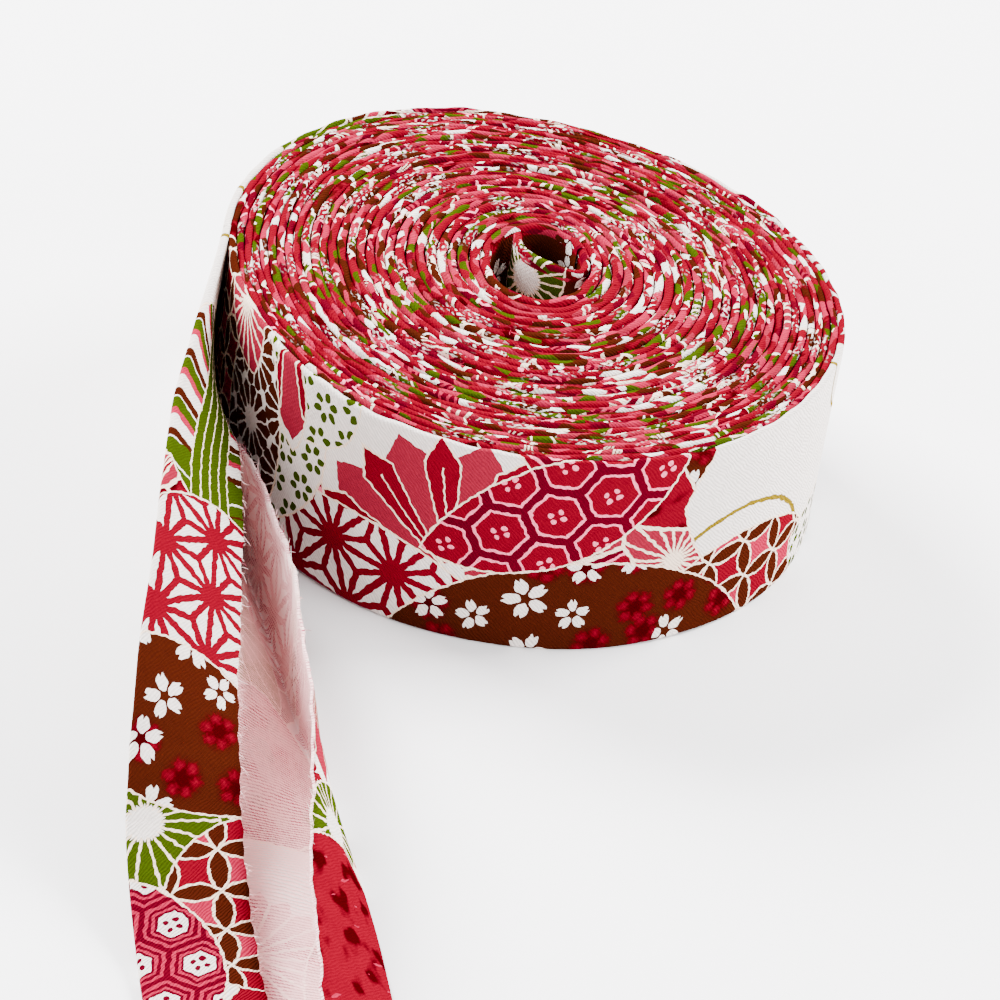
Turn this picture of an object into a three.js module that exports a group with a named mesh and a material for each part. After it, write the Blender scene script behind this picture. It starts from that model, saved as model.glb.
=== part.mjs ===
// Roll of folded cotton bias tape, lying on its flat side with its outer end drawn off to the front.
// Millimetres, +Z up. The roll's middle is the drawing's zero, and the whole object is shifted at the
// end so that the origin lies on the floor under the middle of its box.
import * as THREE from 'three';

// The tape: a strip of cloth with both long edges folded back onto its inner side
const TAPE_WIDTH = 25;
const FLAP_WIDTH = 12;
const CLOTH = 1.0;
const FOLD_RADIUS = 0.65;
const FOLDED_THICKNESS = CLOTH + 2 * FOLD_RADIUS;
const CLEARANCE = 0.3;
const ARC_STEPS = 5;
const FLAP_STEPS = 2;
const PANEL_STEPS = 3;

// The roll: a slightly oval, slightly three-cornered ring
const ROLL_LONG_RADIUS = 36.9;
const ROLL_SHORT_RADIUS = 34.6;
const ROLL_LONG_AXIS = THREE.MathUtils.degToRad(-51.5);
const ROLL_THREE_CORNER = -0.0143;
const RIM_ROUND = 0.9;
const ROLL_COLUMNS = 90;
const HOLE = { x: 0.4, y: 4.4, radiusX: 4.8, radiusY: 7.0 };

// The spiral seen on the roll's upper face, as its broad ridges
const RIDGES = 7;
const RIDGE_DEPTH = 0.5;
const ROWS_PER_RIDGE = 4;

// Where the outermost turn leaves the roll, and the seat that it leaves behind in the roll's side
const LEAVE_ANGLE = THREE.MathUtils.degToRad(178.5);
const STEP_ANGLE = THREE.MathUtils.degToRad(1.0);
const SEAT_ANGLE = THREE.MathUtils.degToRad(70);
const SEAT_DEPTH = FOLDED_THICKNESS + CLEARANCE;

// The loose end, from the roll to its cut end. x, y: its lower fold on the floor. lean: the angle of
// its broad middle above the floor. lowFold, topFold: how far each edge is folded over (180 is flat)
const LOOSE_END = [
  { x: -35.1, y: -0.2, lean: 90, lowFold: 180, topFold: 180 },
  { x: -34.3, y: -7.5, lean: 88, lowFold: 180, topFold: 180 },
  { x: -31.5, y: -16.5, lean: 80, lowFold: 176, topFold: 177 },
  { x: -27.3, y: -26.7, lean: 68, lowFold: 155, topFold: 174 },
  { x: -22.9, y: -38.5, lean: 58, lowFold: 145, topFold: 171 },
  { x: -19.0, y: -50.0, lean: 49, lowFold: 138, topFold: 169 },
  { x: -15.2, y: -60.5, lean: 37, lowFold: 134, topFold: 168 },
  { x: -11.9, y: -68.5, lean: 25, lowFold: 131, topFold: 169 },
  { x: -8.9, y: -76.0, lean: 14, lowFold: 130, topFold: 171 },
  { x: -5.2, y: -87.0, lean: 4, lowFold: 132, topFold: 173 },
  { x: -2.2, y: -97.7, lean: 0, lowFold: 136, topFold: 174 },
  { x: 2.8, y: -117.0, lean: 0, lowFold: 142, topFold: 175 },
];
const LOOSE_END_STEPS = 54;

// The inner end, which turns off the hole's wall and crosses the hole
const INNER_END = [
  { x: -2.7, y: 9.2, lean: 90, lowFold: 180, topFold: 180 },
  { x: -2.2, y: 6.6, lean: 90, lowFold: 180, topFold: 180 },
  { x: -0.4, y: 4.7, lean: 90, lowFold: 180, topFold: 180 },
  { x: 1.8, y: 3.6, lean: 90, lowFold: 180, topFold: 180 },
  { x: 3.9, y: 2.9, lean: 90, lowFold: 180, topFold: 180 },
];
const INNER_END_STEPS = 12;

const COTTON = { roughness: 0.9, metalness: 0.0 };
const ROLL_COLOUR = 0xc8455a;
const LOOSE_END_COLOUR = 0xd2586a;
const INNER_END_COLOUR = 0xa8283c;

// Points of one folded edge's middle line, from the panel's end round the fold and along the flap.
// across runs from the fold inwards over the panel, in goes to the tape's inner side.
function foldedEdge(foldDegrees) {
  const fold = THREE.MathUtils.degToRad(foldDegrees);
  const middle = FOLD_RADIUS + CLOTH / 2;
  const points = [];
  for (let i = 0; i <= ARC_STEPS; i++) {
    const turn = (fold * i) / ARC_STEPS;
    points.push({
      across: middle - FOLD_RADIUS * Math.sin(turn),
      in: middle - FOLD_RADIUS * Math.cos(turn),
      normal: turn,
    });
  }
  const bend = points[ARC_STEPS];
  for (let i = 1; i <= FLAP_STEPS; i++) {
    const along = ((FLAP_WIDTH - middle) * i) / FLAP_STEPS;
    points.push({
      across: bend.across - along * Math.cos(fold),
      in: bend.in + along * Math.sin(fold),
      normal: fold,
    });
  }
  return points;
}

// The closed outline of the folded tape's section, as pairs of across and in
function tapeSection(lowFold, topFold) {
  const low = foldedEdge(lowFold).map((p) => ({
    across: p.across, in: p.in, normalAcross: Math.sin(p.normal), normalIn: Math.cos(p.normal),
  }));
  const top = foldedEdge(topFold).map((p) => ({
    across: TAPE_WIDTH - p.across, in: p.in, normalAcross: -Math.sin(p.normal), normalIn: Math.cos(p.normal),
  }));
  const panel = [];
  const from = low[0].across;
  const to = top[0].across;
  for (let i = 1; i < PANEL_STEPS; i++) {
    panel.push({ across: from + ((to - from) * i) / PANEL_STEPS, in: low[0].in, normalAcross: 0, normalIn: 1 });
  }
  const middleLine = [...low.reverse(), ...panel, ...top];
  const side = (offset) => middleLine.map((p) => ({
    across: p.across + offset * p.normalAcross,
    in: p.in + offset * p.normalIn,
  }));
  return [...side(-CLOTH / 2), ...side(CLOTH / 2).reverse()];
}

// A closed solid from rings of points: each ring joins the next, and flat caps close both ends
function solidFromRings(rings) {
  const count = rings[0].length;
  const positions = rings.flat().flatMap((p) => [p.x, p.y, p.z]);
  const index = [];
  for (let r = 0; r + 1 < rings.length; r++) {
    for (let i = 0; i < count; i++) {
      const a = r * count + i;
      const b = r * count + ((i + 1) % count);
      index.push(a, b + count, b, a, a + count, b + count);
    }
  }
  // Each end is a thin band, so it is closed by quads between the outline's two sides
  const half = count / 2;
  const last = (rings.length - 1) * count;
  for (let i = 0; i + 1 < half; i++) {
    const j = count - 1 - i;
    index.push(i, j - 1, j, i, i + 1, j - 1);
    index.push(last + i, last + j - 1, last + i + 1, last + i, last + j, last + j - 1);
  }
  const geometry = new THREE.BufferGeometry();
  geometry.setAttribute('position', new THREE.Float32BufferAttribute(positions, 3));
  geometry.setIndex(index);
  geometry.computeVertexNormals();
  return geometry;
}

// The folded tape swept along a table of stations, with its lowest point on the floor all the way
function sweptTape(stations, steps) {
  const route = new THREE.CatmullRomCurve3(stations.map((s) => new THREE.Vector3(s.x, s.y, 0)));
  const posture = new THREE.CatmullRomCurve3(
    stations.map((s) => new THREE.Vector3(s.lean, s.lowFold, s.topFold)),
  );
  const rings = [];
  for (let i = 0; i <= steps; i++) {
    const t = i / steps;
    const fold = route.getPoint(t);
    const run = route.getTangent(t);
    const [leanDegrees, lowFold, topFold] = posture.getPoint(t).toArray();
    const lean = THREE.MathUtils.degToRad(THREE.MathUtils.clamp(leanDegrees, 0, 90));
    const outward = new THREE.Vector3(run.y, -run.x, 0);
    const up = new THREE.Vector3(0, 0, 1);
    const across = outward.clone().multiplyScalar(Math.cos(lean)).addScaledVector(up, Math.sin(lean));
    const inward = outward.clone().multiplyScalar(-Math.sin(lean)).addScaledVector(up, Math.cos(lean));
    const ring = tapeSection(Math.min(lowFold, 180), Math.min(topFold, 180)).map((p) =>
      fold.clone().addScaledVector(across, p.across).addScaledVector(inward, p.in));
    const lowest = Math.min(...ring.map((p) => p.z));
    ring.forEach((p) => { p.z -= lowest; });
    rings.push(ring);
  }
  return solidFromRings(rings);
}

// Distance of the roll's side from its middle at an angle, before the seat is taken out of it
function fullRadius(angle) {
  const t = angle - ROLL_LONG_AXIS;
  const oval = 1 / Math.hypot(Math.cos(t) / ROLL_LONG_RADIUS, Math.sin(t) / ROLL_SHORT_RADIUS);
  return oval * (1 + ROLL_THREE_CORNER * Math.cos(3 * t));
}

// Depth of the seat behind the leaving tape: a step at the leaving angle, running out round the side
function seatDepth(angle) {
  const turn = 2 * Math.PI;
  const past = (((angle - LEAVE_ANGLE) % turn) + turn) % turn;
  if (past > SEAT_ANGLE) return 0;
  const entry = Math.min(past / STEP_ANGLE, 1);
  return SEAT_DEPTH * entry * Math.cos((past / SEAT_ANGLE) * (Math.PI / 2)) ** 2;
}

// One upright slice of the ring, from under the hole's edge outwards, up, back over the top and down
function rollSlice(angle) {
  const seat = seatDepth(angle);
  const direction = new THREE.Vector2(Math.cos(angle), Math.sin(angle));
  const inner = new THREE.Vector2(HOLE.x + HOLE.radiusX * direction.x, HOLE.y + HOLE.radiusY * direction.y);
  const rim = direction.clone().multiplyScalar(fullRadius(angle) - seat);
  const wall = rim.distanceTo(inner);
  const place = (share, z) => new THREE.Vector3().set(
    THREE.MathUtils.lerp(inner.x, rim.x, share),
    THREE.MathUtils.lerp(inner.y, rim.y, share),
    z,
  );
  const edge = RIM_ROUND / wall;
  const corner = Math.SQRT1_2;
  const softened = RIM_ROUND * (1 - corner);
  const rows = [
    place(edge, 0), place(1 - edge, 0),
    place(1 - edge * (1 - corner), softened), place(1, RIM_ROUND),
    place(1, TAPE_WIDTH - RIM_ROUND), place(1 - edge * (1 - corner), TAPE_WIDTH - softened),
  ];
  const topRows = RIDGES * ROWS_PER_RIDGE;
  for (let i = 0; i <= topRows; i++) {
    const share = 1 - edge - ((1 - 2 * edge) * i) / topRows;
    const phase = 2 * Math.PI * RIDGES * share * (wall / (wall + seat)) - angle;
    rows.push(place(share, TAPE_WIDTH - RIDGE_DEPTH * (0.5 + 0.5 * Math.cos(phase))));
  }
  rows.push(
    place(edge * (1 - corner), TAPE_WIDTH - softened), place(0, TAPE_WIDTH - RIM_ROUND),
    place(0, RIM_ROUND), place(edge * (1 - corner), softened),
  );
  return rows;
}

function woundRoll() {
  const angles = [LEAVE_ANGLE, LEAVE_ANGLE + STEP_ANGLE];
  const rest = 2 * Math.PI - STEP_ANGLE;
  for (let i = 1; i < ROLL_COLUMNS; i++) angles.push(LEAVE_ANGLE + STEP_ANGLE + (rest * i) / ROLL_COLUMNS);
  const slices = angles.map(rollSlice);
  const rows = slices[0].length;
  const positions = slices.flat().flatMap((p) => [p.x, p.y, p.z]);
  const index = [];
  for (let c = 0; c < slices.length; c++) {
    for (let r = 0; r < rows; r++) {
      const a = c * rows + r;
      const b = c * rows + ((r + 1) % rows);
      const nextA = ((c + 1) % slices.length) * rows + r;
      const nextB = ((c + 1) % slices.length) * rows + ((r + 1) % rows);
      index.push(a, nextA, nextB, a, nextB, b);
    }
  }
  const geometry = new THREE.BufferGeometry();
  geometry.setAttribute('position', new THREE.Float32BufferAttribute(positions, 3));
  geometry.setIndex(index);
  geometry.computeVertexNormals();
  return geometry;
}

function named(name, geometry, color) {
  const mesh = new THREE.Mesh(geometry, new THREE.MeshStandardMaterial({ color, ...COTTON }));
  mesh.name = name;
  return mesh;
}

const group = new THREE.Group();
group.add(
  named('wound_roll', woundRoll(), ROLL_COLOUR),
  named('loose_end', sweptTape(LOOSE_END, LOOSE_END_STEPS), LOOSE_END_COLOUR),
  named('inner_end', sweptTape(INNER_END, INNER_END_STEPS), INNER_END_COLOUR),
);
const box = new THREE.Box3().setFromObject(group);
const middle = box.getCenter(new THREE.Vector3());
group.position.set(-middle.x, -middle.y, -box.min.z);

export default group;
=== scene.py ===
"""A wound roll of printed single-fold cotton bias tape, with its outer end drawn off to the front.

Lengths are in millimetres on the roll's own middle until a mesh is made, which is in metres in the
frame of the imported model. The flat strip has two coordinates, kept in the UV map: how far along it
a point lies from where the tape leaves the roll, and how far across it, from one raw edge.
"""

import logging
import math
from collections.abc import Callable
from dataclasses import dataclass, field
from enum import IntEnum

import bmesh
import bpy
import numpy as np
from mathutils import Matrix, Vector


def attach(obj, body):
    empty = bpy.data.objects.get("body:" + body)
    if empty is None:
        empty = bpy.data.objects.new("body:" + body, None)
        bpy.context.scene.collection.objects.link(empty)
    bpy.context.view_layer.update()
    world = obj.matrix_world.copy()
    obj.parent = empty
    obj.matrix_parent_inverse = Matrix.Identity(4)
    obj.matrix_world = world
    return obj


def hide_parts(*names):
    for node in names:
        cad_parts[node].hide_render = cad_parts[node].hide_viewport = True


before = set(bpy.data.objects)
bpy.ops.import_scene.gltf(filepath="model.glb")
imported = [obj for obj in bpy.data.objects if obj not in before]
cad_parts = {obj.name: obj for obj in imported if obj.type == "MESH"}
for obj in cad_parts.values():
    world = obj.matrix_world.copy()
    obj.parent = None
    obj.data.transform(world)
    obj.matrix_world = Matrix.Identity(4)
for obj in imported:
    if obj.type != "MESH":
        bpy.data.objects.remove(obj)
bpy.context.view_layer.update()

LOG = logging.getLogger("tape_roll")
MM = 0.001
ROLL_MIDDLE = Vector((-0.145, 43.671, 0.0))
STRIP_MAP = "Strip"
SEED = 20
# Places along the strip, in millimetres: between the first two only the folds of the turns show.
FOLDS_FROM = -3895.0
FOLDS_TO = -224.0
LEAVES_ROLL = 0.0

Colour = tuple[float, float, float, float]
Socket = bpy.types.NodeSocket
Tree = bpy.types.NodeTree


def linear(red: int, green: int, blue: int) -> Colour:
    """Turn an 8-bit screen colour into the linear colour that shaders take.

    Args:
        red: Red, 0 to 255.
        green: Green, 0 to 255.
        blue: Blue, 0 to 255.

    Returns:
        Linear red, green, blue and an alpha of one.
    """
    parts = (c / 255 for c in (red, green, blue))
    return (*(c / 12.92 if c <= 0.04045 else ((c + 0.055) / 1.055) ** 2.4 for c in parts), 1.0)


class Ink:
    """The dyes of the print, and the bare cotton."""

    WHITE = linear(222, 212, 206)
    CREAM = linear(232, 206, 184)
    RED = linear(104, 0, 21)
    CRIMSON = linear(78, 1, 18)
    DARK_RED = linear(50, 1, 4)
    PINK = linear(150, 24, 54)
    ROSE = linear(128, 24, 44)
    PALE_PINK = linear(236, 118, 142)
    BROWN = linear(54, 17, 6)
    GREEN = linear(46, 62, 3)
    GOLD = linear(112, 92, 16)


class Motif(IntEnum):
    """The designs that a field of the print can hold."""

    HEMP_LEAF = 0
    TORTOISESHELL = 1
    LINKED_CIRCLES = 2
    BLOSSOM = 3
    FAN = 4
    GREEN_MUM = 5
    BROWN_MUM = 6
    DOT_FLOWERS = 7
    BUNDLE = 8
    GOLD_ARC = 9
    BLOTCH = 10
    TUFT = 11
    SMALL_SHELL = 12


class Num:
    """A number that changes over the cloth, held as an output of a node tree."""

    def __init__(self, tree: Tree, socket: Socket) -> None:
        """Hold the output socket of one tree."""
        self.tree = tree
        self.socket = socket

    def op(self, operation: str, *others: "Num | float", clamp: bool = False) -> "Num":
        """Add a Math node fed by this number.

        Args:
            operation: The Math node's operation.
            others: Its other inputs, in order.
            clamp: Whether the result is kept between 0 and 1.

        Returns:
            The node's result.
        """
        node = self.tree.nodes.new("ShaderNodeMath")
        node.operation = operation
        node.use_clamp = clamp
        for slot, value in zip(node.inputs, (self, *others)):
            if isinstance(value, Num):
                self.tree.links.new(value.socket, slot)
            else:
                slot.default_value = value
        return Num(self.tree, node.outputs[0])

    def __add__(self, other: "Num | float") -> "Num":
        """Add."""
        return self.op("ADD", other)

    def __sub__(self, other: "Num | float") -> "Num":
        """Take away."""
        return self.op("SUBTRACT", other)

    def __mul__(self, other: "Num | float") -> "Num":
        """Multiply."""
        return self.op("MULTIPLY", other)

    def __truediv__(self, other: "Num | float") -> "Num":
        """Divide."""
        return self.op("DIVIDE", other)

    def __abs__(self) -> "Num":
        """Drop the sign."""
        return self.op("ABSOLUTE")

    def __lt__(self, other: "Num | float") -> "Num":
        """One where smaller, or else zero."""
        return self.op("LESS_THAN", other)

    def __gt__(self, other: "Num | float") -> "Num":
        """One where greater, or else zero."""
        return self.op("GREATER_THAN", other)

    def __and__(self, other: "Num") -> "Num":
        """Both of two masks."""
        return self.op("MULTIPLY", other)

    def __or__(self, other: "Num") -> "Num":
        """Either of two masks."""
        return self.op("MAXIMUM", other)

    def wrap(self, half: float) -> "Num":
        """Fold into the range from minus half to half."""
        return self.op("WRAP", half, -half)

    def clamped(self) -> "Num":
        """Keep between zero and one."""
        return self.op("ADD", 0.0, clamp=True)

    def hypot(self, other: "Num") -> "Num":
        """Length of the vector of two numbers."""
        return length(self.tree, joined(self.tree, self, other))


class Picture:
    """A node group that draws in colour, and short ways to add to it."""

    def __init__(self, name: str, inputs: tuple[str, ...], outputs: dict[str, str]) -> None:
        """Make the group.

        Args:
            name: The group's name.
            inputs: Names of its number inputs.
            outputs: Name of each output, with its socket type.
        """
        self.tree = bpy.data.node_groups.new(name, "ShaderNodeTree")
        for label in inputs:
            self.tree.interface.new_socket(label, in_out="INPUT", socket_type="NodeSocketFloat")
        for label, kind in outputs.items():
            self.tree.interface.new_socket(label, in_out="OUTPUT", socket_type=kind)
        self.entry = self.tree.nodes.new("NodeGroupInput")
        self.exit = self.tree.nodes.new("NodeGroupOutput")

    def given(self, label: str) -> Num:
        """Take one of the group's inputs as a number."""
        return Num(self.tree, self.entry.outputs[label])

    def put(self, label: str, value: "Num | Socket") -> None:
        """Send a number or socket to one of the group's outputs."""
        socket = value.socket if isinstance(value, Num) else value
        self.tree.links.new(socket, self.exit.inputs[label])

    def paint(self, under: Colour | Socket, over: Colour | Socket, mask: Num) -> Socket:
        """Lay one colour over another where a mask is one.

        Args:
            under: A colour, or the socket of one.
            over: A colour, or the socket of one.
            mask: Where the second colour lies.

        Returns:
            The socket of the mixed colour.
        """
        return paint(self.tree, under, over, mask)

    def cell(self, x: Num, y: Num, pitch: float) -> tuple[Num, Num]:
        """Fold the plane into the six-sided cells of a close-packed lattice.

        Args:
            x: First coordinate.
            y: Second coordinate.
            pitch: Distance between neighbouring cells.

        Returns:
            Coordinates from the middle of the nearest cell.
        """
        half = Vector((pitch / 2, pitch * math.sqrt(3) / 2, 0.0))
        place = joined(self.tree, x, y)
        first = vector_math(self.tree, "WRAP", place, half, -half).outputs["Vector"]
        moved = vector_math(self.tree, "ADD", place, half).outputs["Vector"]
        second = vector_math(self.tree, "WRAP", moved, half, -half).outputs["Vector"]
        near = length(self.tree, first) < length(self.tree, second)
        here_x, here_y, _ = parted(self.tree, mixed_vector(self.tree, second, first, near))
        return here_x, here_y

    def noise(self, x: Num, y: Num, scale: float, detail: float = 1.0) -> Num:
        """Smooth noise about one half over two coordinates."""
        node = self.tree.nodes.new("ShaderNodeTexNoise")
        node.noise_dimensions = "2D"
        node.inputs["Scale"].default_value = scale
        node.inputs["Detail"].default_value = detail
        self.tree.links.new(joined(self.tree, x, y), node.inputs["Vector"])
        return Num(self.tree, node.outputs[0])

    def uneven_cells(
        self, x: Num, y: Num, feature: str = "F1", randomness: float = 1.0
    ) -> bpy.types.Node:
        """Part the plane into uneven cells about one unit wide.

        Args:
            x: First coordinate.
            y: Second coordinate.
            feature: What is measured in them.
            randomness: How uneven they are, up to one.

        Returns:
            The node.
        """
        node = self.tree.nodes.new("ShaderNodeTexVoronoi")
        node.voronoi_dimensions = "2D"
        node.feature = feature
        node.inputs["Scale"].default_value = 1.0
        node.inputs["Randomness"].default_value = randomness
        self.tree.links.new(joined(self.tree, x, y), node.inputs["Vector"])
        return node


def joined(tree: Tree, x: Num | float, y: Num | float, z: Num | float = 0.0) -> Socket:
    """Join numbers to the socket of one vector."""
    node = tree.nodes.new("ShaderNodeCombineXYZ")
    for slot, value in zip(node.inputs, (x, y, z)):
        if isinstance(value, Num):
            tree.links.new(value.socket, slot)
        else:
            slot.default_value = value
    return node.outputs[0]


def parted(tree: Tree, socket: Socket) -> tuple[Num, Num, Num]:
    """Part the socket of a vector or colour into numbers."""
    node = tree.nodes.new("ShaderNodeSeparateXYZ")
    tree.links.new(socket, node.inputs[0])
    return tuple(Num(tree, out) for out in node.outputs)


def vector_math(tree: Tree, operation: str, *inputs: Socket | Vector) -> bpy.types.Node:
    """Add a Vector Math node fed by sockets or fixed vectors."""
    node = tree.nodes.new("ShaderNodeVectorMath")
    node.operation = operation
    for slot, value in zip(node.inputs, inputs):
        if isinstance(value, Vector):
            slot.default_value = value
        else:
            tree.links.new(value, slot)
    return node


def length(tree: Tree, vector: Socket) -> Num:
    """Length of a vector."""
    return Num(tree, vector_math(tree, "LENGTH", vector).outputs["Value"])


def mixed_vector(tree: Tree, under: Socket, over: Socket | Vector, mask: Num) -> Socket:
    """Take one vector, or another where a mask is one."""
    node = tree.nodes.new("ShaderNodeMix")
    node.data_type = "VECTOR"
    tree.links.new(mask.socket, node.inputs["Factor"])
    tree.links.new(under, node.inputs[4])
    if isinstance(over, Vector):
        node.inputs[5].default_value = over
    else:
        tree.links.new(over, node.inputs[5])
    return node.outputs[1]


def paint(tree: Tree, under: Colour | Socket, over: Colour | Socket, mask: Num) -> Socket:
    """Mix two colours by a mask in a tree, as Picture.paint says."""
    node = tree.nodes.new("ShaderNodeMix")
    node.data_type = "RGBA"
    tree.links.new(mask.socket, node.inputs["Factor"])
    for slot, value in ((node.inputs[6], under), (node.inputs[7], over)):
        if isinstance(value, Socket):
            tree.links.new(value, slot)
        else:
            slot.default_value = value
    return node.outputs[2]


def placed(tree: Tree, group: Tree, **inputs: Num) -> bpy.types.Node:
    """Place a node group in a tree and feed its inputs by name."""
    node = tree.nodes.new("ShaderNodeGroup")
    node.node_tree = group
    for label, value in inputs.items():
        tree.links.new(value.socket, node.inputs[label])
    return node


@dataclass(frozen=True)
class Flower:
    """The polar coordinates of one flower, folded into one petal."""

    radius: Num
    turn: Num
    petals: int

    @property
    def off_middle(self) -> Num:
        """Angle from the petal's own middle line, without its sign."""
        return abs(self.turn)

    @property
    def to_border(self) -> Num:
        """Distance to the border with the next petal."""
        return self.radius * (self.off_middle * -1 + math.pi / self.petals)


def flower(x: Num, y: Num, petals: int, start: Num | float = 0.0) -> Flower:
    """Fold the plane into the petals of a flower about its zero.

    Args:
        x: First coordinate.
        y: Second coordinate.
        petals: How many petals go round.
        start: Angle that the flower is turned by.

    Returns:
        The folded coordinates.
    """
    angle = y.op("ARCTAN2", x) + start
    return Flower(x.hypot(y), angle.wrap(math.pi / petals), petals)


class MotifBook:
    """One node group for each motif, which draws it over X and Y in millimetres."""

    def __init__(self) -> None:
        """Build all the groups."""
        drawings = {
            Motif.HEMP_LEAF: self.hemp_leaf,
            Motif.TORTOISESHELL: self.tortoiseshell,
            Motif.LINKED_CIRCLES: self.linked_circles,
            Motif.BLOSSOM: self.blossom,
            Motif.FAN: self.fan,
            Motif.GREEN_MUM: self.green_mum,
            Motif.BROWN_MUM: self.brown_mum,
            Motif.DOT_FLOWERS: self.dot_flowers,
            Motif.BUNDLE: self.bundle,
            Motif.GOLD_ARC: self.gold_arc,
            Motif.BLOTCH: self.blotch,
            Motif.TUFT: self.tuft,
            Motif.SMALL_SHELL: self.small_shell,
        }
        self.groups = {motif: self.drawn(motif, draw) for motif, draw in drawings.items()}

    @staticmethod
    def drawn(motif: Motif, draw: Callable[..., Socket]) -> Tree:
        """Make the group of one motif.

        Args:
            motif: Which motif it is.
            draw: The method that draws it.

        Returns:
            The group's tree.
        """
        page = Picture(motif.name.lower(), ("X", "Y"), {"Color": "NodeSocketColor"})
        page.put("Color", draw(page, page.given("X"), page.given("Y")))
        return page.tree

    def hemp_leaf(self, page: Picture, x: Num, y: Num) -> Socket:
        """Twelve spokes from each point of a lattice, red on white."""
        pitch, half_line = 8.0, 0.42
        cx, cy = page.cell(x, y, pitch)
        star = flower(cx, cy, 12)
        spoke = (star.radius * star.off_middle) < half_line
        heart = (star.radius + star.off_middle * 2.0) < 1.9
        return page.paint(Ink.WHITE, Ink.RED, spoke | heart)

    @staticmethod
    def hexagon(x: Num, y: Num) -> Num:
        """Distance to a six-sided cell's middle, measured square to its sides."""
        slant, rise = x * 0.5, y * (math.sqrt(3) / 2)
        return abs(x).op("MAXIMUM", abs(slant + rise)).op("MAXIMUM", abs(slant - rise))

    def tortoiseshell(self, page: Picture, x: Num, y: Num) -> Socket:
        """Red six-sided cells with a pale line and four pale dots, on crimson."""
        pitch = 6.4
        cx, cy = page.cell(x, y, pitch)
        out = self.hexagon(cx, cy)
        dots = (abs(cx) - 0.09 * pitch).hypot(abs(cy) - 0.07 * pitch) < 0.05 * pitch
        ground = page.paint(Ink.CRIMSON, Ink.PALE_PINK, out < 0.425 * pitch)
        cell = page.paint(ground, Ink.RED, out < 0.375 * pitch)
        return page.paint(cell, Ink.PALE_PINK, dots)

    def small_shell(self, page: Picture, x: Num, y: Num) -> Socket:
        """Nested six-sided pink lines on crimson about a pale cell with four dots."""
        pitch = 6.4
        cx, cy = page.cell(x, y, pitch)
        out = self.hexagon(cx, cy)
        colour = page.paint(Ink.CRIMSON, Ink.PINK, out < 0.455 * pitch)
        for edge, ink in ((0.395, Ink.CRIMSON), (0.335, Ink.PINK), (0.285, Ink.CRIMSON), (0.24, Ink.WHITE)):
            colour = page.paint(colour, ink, out < edge * pitch)
        dots = (abs(cx) - 0.085 * pitch).hypot(abs(cy) - 0.08 * pitch) < 0.052 * pitch
        return page.paint(colour, Ink.CRIMSON, dots)

    def linked_circles(self, page: Picture, x: Num, y: Num) -> Socket:
        """Circles that share lens-shaped brown petals round red and pink diamonds."""
        circle = 3.7
        side = circle * math.sqrt(2)
        qx, qy = x / side, y / side
        column, row = qx.op("ROUND"), qy.op("ROUND")
        fx, fy = abs(qx - column), abs(qy - row)
        to_side = (fx * -1 + 1).hypot(fy)
        to_above = fx.hypot(fy * -1 + 1)
        rim = to_side.op("MINIMUM", to_above) - math.sqrt(0.5)
        odd = abs((column + row).wrap(1.0)) > 0.5
        diamond = page.paint(Ink.RED, Ink.PINK, odd)
        lens = page.paint(diamond, Ink.BROWN, rim < 0)
        return page.paint(lens, Ink.CREAM, abs(rim) < 0.028)

    def scatter(self, page: Picture, x: Num, y: Num, pitch: float) -> tuple[Num, Num, Num, Num]:
        """Coordinates from the nearest of many strewn points, and two random numbers for it."""
        qx, qy = x / pitch, y / pitch
        node = page.uneven_cells(qx, qy, randomness=0.55)
        px, py, _ = parted(page.tree, node.outputs["Position"])
        first, second, _ = parted(page.tree, node.outputs["Color"])
        return (qx - px) * pitch, (qy - py) * pitch, first, second

    def blossom(self, page: Picture, x: Num, y: Num) -> Socket:
        """White notched five-petalled blossoms and soft dark red clusters, strewn on brown."""
        fx, fy, first, second = self.scatter(page, x, y, 5.6)
        bloom = flower(fx, fy, 5, first * (2 * math.pi))
        reach = second * 0.9 + 1.9
        out = bloom.radius * bloom.turn.op("COSINE") / reach
        aside = bloom.radius * abs(bloom.turn.op("SINE")) / reach
        petal = ((out - 0.62) / 0.40).hypot(aside / 0.27) < 1
        notch = (out - 0.82) > aside * 1.7
        white = petal & (notch * -1 + 1)
        cluster = flower(fx, fy, 6, second * 3.0)
        lump_out = cluster.radius * cluster.turn.op("COSINE") - 1.5
        lump_aside = cluster.radius * cluster.turn.op("SINE")
        blur = page.noise(x, y, 2.4) * 0.7
        lump = (lump_out.hypot(lump_aside) + blur) * -1.2 + 1.8
        middle = (cluster.radius + blur) * -0.8 + 2.35
        soft = (first - 0.45).op("MULTIPLY", 60.0, clamp=True)
        shade = middle.op("MAXIMUM", lump).op("MULTIPLY", soft, clamp=True)
        dark = page.paint(Ink.BROWN, Ink.DARK_RED, shade)
        red = page.paint(dark, Ink.RED, (lump - 0.35).op("MULTIPLY", soft, clamp=True))
        return page.paint(red, Ink.WHITE, white & (first < 0.55))

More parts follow.
